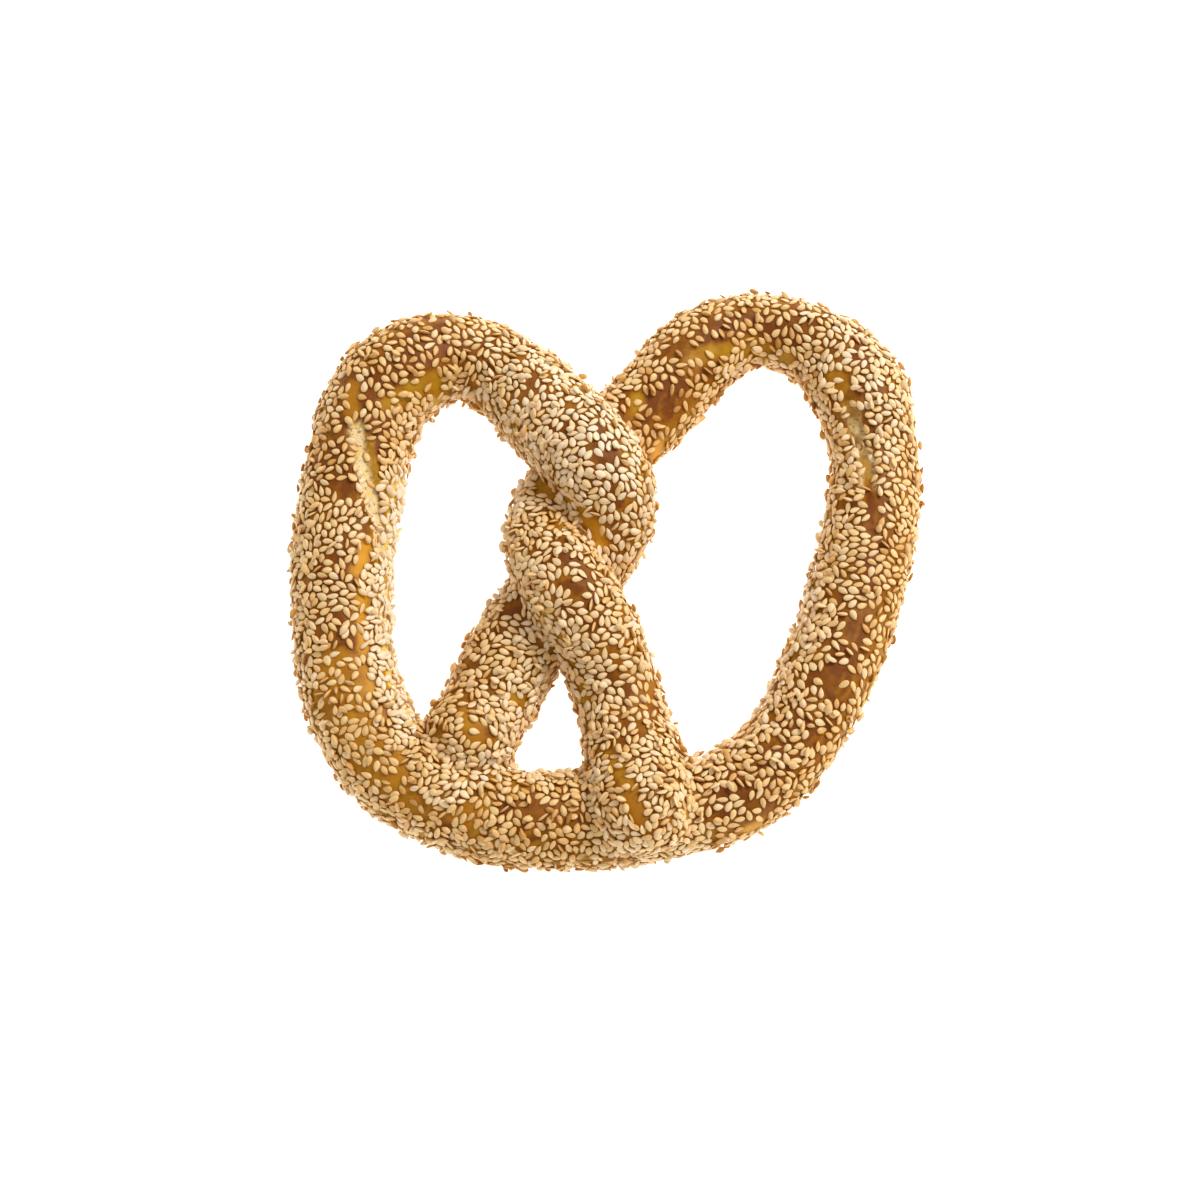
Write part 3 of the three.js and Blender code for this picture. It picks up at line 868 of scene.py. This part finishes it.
class Seeds:
    """A layer of seeds lying on the dough: place, outward normal and long axis of each, in mm."""

    # Three discs stand for a seed's outline: place along its length, radius over its width.
    DISC_AT = np.array([-0.30, 0.0, 0.27])
    DISC_RADIUS = np.array([0.30, 0.46, 0.42])

    def __init__(self, dough, places, random, length, width):
        self.dough, self.length, self.width = dough, length, width
        self.places, self.normals = dough.nearest(places)
        self.axes = self.turned(self.drift(), random.normal(0, 0.9, len(places)))
        self.axes *= random.choice([-1, 1], len(places))[:, None]

    def drift(self):
        """The way that neighbouring seeds tend to lie, since the rope was rolled over them."""
        turn = -0.5 + 1.2 * noise_at(self.places, 30, 60)
        way = np.stack([np.cos(turn), np.sin(turn), np.full(len(turn), 0.1)], 1)
        return unit(way - self.normals * np.sum(way * self.normals, 1, keepdims=True))

    def turned(self, axes, turn):
        side = np.cross(self.normals, axes)
        return unit(np.cos(turn)[:, None] * axes + np.sin(turn)[:, None] * side)

    def spread(self, steps, room, firmness=0.45):
        """Seeds that overlap push one another along the crust and turn, as they do when rolled on.
        room is how much wider than itself each seed's place is, so that thin zones stay even."""
        radius = room[:, None] * self.DISC_RADIUS * self.width
        for step in range(steps):
            if step % 5 == 0:
                pairs = pairs_within(self.places, 1.3 * self.length)
                touch = radius[pairs[:, 0]][:, :, None] + radius[pairs[:, 1]][:, None]
            arm = self.axes[:, None] * (self.DISC_AT * self.length)[None, :, None]
            disc = self.places[:, None] + arm
            gap = disc[pairs[:, 0]][:, :, None] - disc[pairs[:, 1]][:, None]
            apart = np.linalg.norm(gap, axis=-1)
            push = np.clip(touch - apart, 0, None)[..., None] * gap / np.maximum(apart, 1e-6)[..., None]
            shove = np.zeros_like(disc)
            np.add.at(shove, pairs[:, 0], 0.5 * push.sum(2))
            np.add.at(shove, pairs[:, 1], -0.5 * push.sum(1))
            torque = np.sum(np.cross(arm, shove).sum(1) * self.normals, axis=1)
            self.places += firmness * shove.sum(1)
            turn = np.clip(firmness * torque / (0.12 * self.length**2), -0.4, 0.4)
            self.axes = self.turned(self.axes, turn)
            self.places, self.normals = self.dough.nearest(self.places)
            self.axes = unit(self.axes - self.normals * np.sum(self.axes * self.normals, 1, keepdims=True))

    def thin(self, random, clumping):
        """Seeds that fell off or never stuck: in the bare places, and in small gaps between clumps."""
        places = self.dough.on_rope(self.places)
        left = bare_places(self.places, places)[0]
        more = coat_zones(places)[0] - 1
        gaps = noise_at(self.places, SMALL_GAPS_MM, 40)
        gaps = gaps + 0.5 * noise_at(self.places, 0.4 * SMALL_GAPS_MM, 50)
        full = FIRST_FULL if clumping == 1 else UPPER_FULL + ZONE_PULL * more
        left = left**clumping * np.clip(full + clumping * gaps, 0, MOST_LEFT)
        self.keep(random.random(len(left)) < left)

    def joined(self, other):
        """This layer and another as one, with the other's seeds put down last."""
        both = object.__new__(Seeds)
        both.dough, both.length, both.width = self.dough, self.length, self.width
        for rows in ("places", "normals", "axes"):
            setattr(both, rows, np.vstack([getattr(self, rows), getattr(other, rows)]))
        return both

    def settle(self, thick):
        """Puts the seeds down one after another, each resting on those already under it: how far each
        is raised, and how far it pitches along its length and rolls on its side."""
        radius = self.DISC_RADIUS * self.width
        arm = self.DISC_AT * self.length
        disc = self.places[:, None] + self.axes[:, None] * arm[None, :, None]
        pairs = pairs_within(self.places, 1.1 * self.length)
        gap = disc[pairs[:, 1]][:, :, None] - disc[pairs[:, 0]][:, None]
        apart = np.linalg.norm(gap, axis=-1) / (radius[:, None] + radius[None, :])
        prop = thick * np.clip(1.7 * (1 - apart), 0, 1)
        pairs, gap, prop = (rows[prop.max((1, 2)) > 0] for rows in (pairs, gap, prop))
        side = np.cross(self.normals, self.axes)[pairs[:, 1]]
        lean = -np.sign(np.sum(gap.mean((1, 2)) * side, axis=1)) * prop.max((1, 2)) / thick
        order = np.argsort(pairs[:, 1], kind="stable")
        pairs, prop, lean = pairs[order], prop[order], lean[order]
        starts = np.searchsorted(pairs[:, 1], np.arange(len(self.places) + 1))
        heights = np.zeros((len(self.places), 3))
        rise, pitch, roll = np.zeros((3, len(self.places)))
        for i, (start, end) in enumerate(zip(starts[:-1], starts[1:])):
            if start == end:
                continue
            below = heights[pairs[start:end, 0]][:, None, :]
            touch = prop[start:end]
            support = np.where(touch > 0, below + touch, 0).max((0, 2))
            slope = np.clip(0.8 * (support[2] - support[0]) / (arm[2] - arm[0]), -0.55, 0.55)
            rise[i] = min(np.max(support - slope * arm), 1.1 * thick)
            heights[i] = rise[i] + slope * arm
            pitch[i] = math.atan(slope)
            roll[i] = np.clip(0.45 * lean[start:end].sum(), -0.7, 0.7)
        return rise, pitch, roll

    def keep(self, chosen):
        self.places, self.normals, self.axes = self.places[chosen], self.normals[chosen], self.axes[chosen]


def seed_coat(dough, settings):
    """Every seed of the coat: place, three directions and size in mm, kind, and how much darker its tone is
    painted, partly toasting and partly painted light and shade; then the random numbers, for the draws that
    follow."""
    random = np.random.default_rng(RANDOM_SEED)
    length, width, thick = settings.length / MM, settings.width / MM, settings.thickness / MM
    first = Seeds(dough, dough.scatter(settings.per_cm2 / 100, random), random, length, width)
    rolled = FIRST_KEPT * coat_zones(dough.on_rope(first.places))[0]
    first.keep(random.random(len(rolled)) < rolled)
    rolled = coat_zones(dough.on_rope(first.places))[0]
    first.spread(FIRST_STEPS, np.clip(rolled**-0.5, 1, MOST_ROOM))
    first.thin(random, 1.0)
    loose = dough.scatter(settings.upper * settings.per_cm2 / 100, random)
    upper = Seeds(dough, loose, random, length, width)
    upper.spread(UPPER_STEPS, np.ones(len(upper.places)))
    upper.thin(random, 2.5)
    upper.keep(upper.normals[:, 2] > -0.5)
    both = first.joined(upper)
    count = len(both.places)
    size = random.normal(1, [0.07, 0.07, 0.08], (count, 3)) * [length, width, thick]
    under = both.places[:, 2] < TRAY_REACH_MM
    rise, pitch, roll = both.settle(thick)
    pitch += random.normal(0, math.radians(7), count)
    roll += random.normal(0, math.radians(11), count)
    standing = random.random(count) < settings.on_edge
    roll = np.where(standing, random.choice([-1, 1], count) * random.uniform(0.7, 1.5, count), roll)
    pitch = np.where(standing, pitch + random.normal(0, 0.3, count), pitch)
    rise, pitch, roll = (np.where(under, 0, turn) for turn in (rise, pitch, roll))
    side = np.cross(both.normals, both.axes)
    axis = unit(np.cos(pitch)[:, None] * both.axes + np.sin(pitch)[:, None] * both.normals)
    over = np.cross(axis, side)
    side, over = (
        np.cos(roll)[:, None] * side + np.sin(roll)[:, None] * over,
        np.cos(roll)[:, None] * over - np.sin(roll)[:, None] * side,
    )
    half = 0.5 * np.hypot(np.cos(roll) * size[:, 2], np.sin(roll) * size[:, 1])
    places = dough.on_rope(both.places)
    _, strength, baked, _ = bare_places(both.places, places)
    # Seeds on pale dough, mostly the inner wall of the left arm, are painted paler as light that falls there,
    # and sink deeper; the zones add their painted light and shade to every seed's tone.
    pale = strength * np.clip(1 - 10 * baked, 0, 1)
    toasted = coat_zones(places)[2] - 0.3 * pale
    sunk = (settings.sunk + 0.2 * pale) * thick
    place = both.places + both.normals * (rise + half - sunk)[:, None]
    kind = random.choice(len(SEED_KINDS), count, p=[k[1] for k in SEED_KINDS])
    low = place[:, 2] + half < SOLID_HIGH[2] / MM + PROUD_MM
    kept = [rows[low] for rows in (place, axis, side, over, size, kind, toasted)]
    return *kept, random


def seed_mesh(name, form, place, axis, side, over, size, tone):
    """One mesh of many seeds, each with its own cell on one flat map."""
    points, part, rim_shade = form
    count, per_seed = len(place), len(points)
    local = points[None] * size[:, None]
    world = place[:, None] + local[..., :1] * axis[:, None]
    world = world + local[..., 1:2] * side[:, None] + local[..., 2:] * over[:, None]
    world[..., 2] = np.maximum(world[..., 2], LOWEST_MM + LOWEST_MM * (points[None, :, 2] + 0.5))
    quads, quad_map, tris, tri_map = seed_faces()
    offset = (np.arange(count) * per_seed)[:, None, None]
    faces = [(quads[None] + offset).reshape(-1, 4), (tris[None] + offset).reshape(-1, 3)]
    mesh = new_mesh(name, world.reshape(-1, 3), faces)
    set_attribute(mesh, "tone", np.repeat(tone, per_seed))
    set_attribute(mesh, "tip", np.tile(np.clip(0.8 - part / 0.3, 0, 1), count))
    set_attribute(mesh, "rim_shade", np.tile(rim_shade, count))
    grid = math.ceil(math.sqrt(count))
    cell = np.stack([np.arange(count) % grid, np.arange(count) // grid], 1)[:, None, None]
    margin = 0.08
    cells = [(cell + margin + (1 - 2 * margin) * part_map[None]) / grid for part_map in (quad_map, tri_map)]
    flat = np.concatenate([c.reshape(-1, 2) for c in cells])
    mesh.uv_layers.new(name="OFBake").data.foreach_set("uv", flat.astype(np.float32).ravel())
    return mesh


# ------------ operators

made = {}  # what one operator leaves for the next

FLOOR_REACH = 6.0  # metres from the middle to each side
KEY_PLACE = (1.62, 1.45, 2.1)  # metres
KEY_SIZE = 1.0
LENS, SENSOR = 85, 36  # the camera's, in mm
AIM_MM = (-2.2, -7.6, 11.7)


class PRETZEL_OT_dough(bpy.types.Operator):
    """Makes the rope of dough, fused where it crosses itself, with its crust"""

    bl_idname = "pretzel.dough"
    bl_label = "Make the dough"

    def execute(self, context):
        settings = context.scene.pretzel_dough
        dough = Dough(settings)
        mesh = new_mesh("dough", dough.points, [dough.quads])
        _, strength, baked, glow = bare_places(dough.points, dough.places)
        up = dough.normals[:, 2]
        blotches = noise_at(dough.points, 14, 9)
        zone_bake_and_shade = coat_zones(dough.places)[1]
        # The crust is browner on top, as baking browns it, and paler on the side walls, partly from less
        # baking and partly as painted light where the light falls on them; the zones add their painted light
        # and shade.
        crust = np.clip(0.12 + 0.66 * up + 0.2 * blotches + zone_bake_and_shade, 0.08, 1)
        crust = np.where(up < -0.5, 0.6 + 0.2 * blotches, crust)
        set_attribute(mesh, "bake_and_shade", crust * (1 - strength) + baked * strength)
        set_attribute(mesh, "glow", glow)
        set_attribute(mesh, "torn", np.clip(2.5 * dough.torn - 1.2, 0, 1) * np.clip(1.1 - 2.5 * baked, 0, 1))
        new_piece("dough", mesh, crust_material(settings))
        made["dough"] = dough
        return {"FINISHED"}


class PRETZEL_OT_seeds(bpy.types.Operator):
    """Covers the dough with sesame seeds of six kinds, one piece for each kind"""

    bl_idname = "pretzel.seeds"
    bl_label = "Scatter the seeds"

    def execute(self, context):
        if "dough" not in made:
            raise RuntimeError("make the dough first")
        settings = context.scene.pretzel_seeds
        place, axis, side, over, size, kind, toasted, random = seed_coat(made["dough"], settings)
        for number, (name, _, form, scale, tone, spread) in enumerate(SEED_KINDS):
            mine = kind == number
            # Each seed's tone is its kind's, at random, plus the painted light and shade of its zone and
            # wall.
            tones = random.normal(tone, spread, mine.sum()) + toasted[mine]
            lie = (rows[mine] for rows in (place, axis, side, over))
            mesh = seed_mesh(f"seeds_{name}", seed_form(**form), *lie, size[mine] * scale, tones)
            material = seed_material(f"hulled_sesame_{name}", settings)
            new_piece(f"seeds_{name}", mesh, material)
        return {"FINISHED"}


class PRETZEL_OT_stage(bpy.types.Operator):
    """Lays the pale floor and sets the soft studio light and the camera"""

    bl_idname = "pretzel.stage"
    bl_label = "Set the stage"

    def execute(self, context):
        settings = context.scene.pretzel_stage
        scene = context.scene
        mesh = bpy.data.meshes.new("floor")
        corners = [(x * FLOOR_REACH, y * FLOOR_REACH, 0) for x, y in ((-1, -1), (1, -1), (1, 1), (-1, 1))]
        mesh.from_pydata(corners, [], [(0, 1, 2, 3)])
        mesh.materials.append(floor_material(settings))
        floor = bpy.data.objects.new("floor", mesh)
        scene.collection.objects.link(floor)

        lamp = bpy.data.lights.new("key_right", "AREA")
        lamp.energy = settings.key
        lamp.shape = "DISK"
        lamp.size = KEY_SIZE
        holder = bpy.data.objects.new("key_right", lamp)
        holder.location = KEY_PLACE
        holder.rotation_mode = "QUATERNION"
        holder.rotation_quaternion = Vector(KEY_PLACE).to_track_quat("Z", "Y")
        scene.collection.objects.link(holder)

        world = bpy.data.worlds.new("studio")
        world.use_nodes = True
        backdrop = world.node_tree.nodes["Background"]
        backdrop.inputs["Color"].default_value = (1, 1, 1, 1)
        backdrop.inputs["Strength"].default_value = settings.fill
        scene.world = world

        camera = bpy.data.objects.new("camera", bpy.data.cameras.new("camera"))
        camera.data.lens = LENS
        camera.data.sensor_width = SENSOR
        camera.data.clip_start = 0.05
        aim = Vector(AIM_MM) * MM
        back = Vector((0, -math.cos(settings.elevation), math.sin(settings.elevation)))
        camera.location = aim + back * settings.distance
        camera.rotation_mode = "QUATERNION"
        camera.rotation_quaternion = back.to_track_quat("Z", "Y")
        scene.collection.objects.link(camera)
        scene.camera = camera
        scene.view_settings.view_transform = "Standard"
        return {"FINISHED"}


class PRETZEL_PT_panel(bpy.types.Panel):
    """The steps of making the pretzel, in order"""

    bl_label = "Sesame Pretzel"
    bl_idname = "PRETZEL_PT_panel"
    bl_space_type = "VIEW_3D"
    bl_region_type = "UI"
    bl_category = "Pretzel"

    def draw(self, context):
        for step in STEPS:
            self.layout.operator(step.bl_idname)


STEPS = (PRETZEL_OT_dough, PRETZEL_OT_seeds, PRETZEL_OT_stage)
GROUPS = {"pretzel_dough": DoughSettings, "pretzel_seeds": SeedSettings, "pretzel_stage": StageSettings}


def register():
    for kind in (*GROUPS.values(), *STEPS, PRETZEL_PT_panel):
        bpy.utils.register_class(kind)
    for name, group in GROUPS.items():
        setattr(bpy.types.Scene, name, PointerProperty(type=group))


def unregister():
    for name in GROUPS:
        delattr(bpy.types.Scene, name)
    for kind in reversed((*GROUPS.values(), *STEPS, PRETZEL_PT_panel)):
        bpy.utils.unregister_class(kind)


def main():
    register()
    bpy.ops.pretzel.dough()
    bpy.ops.pretzel.seeds()
    bpy.ops.pretzel.stage()


if __name__ == "__main__":
    main()
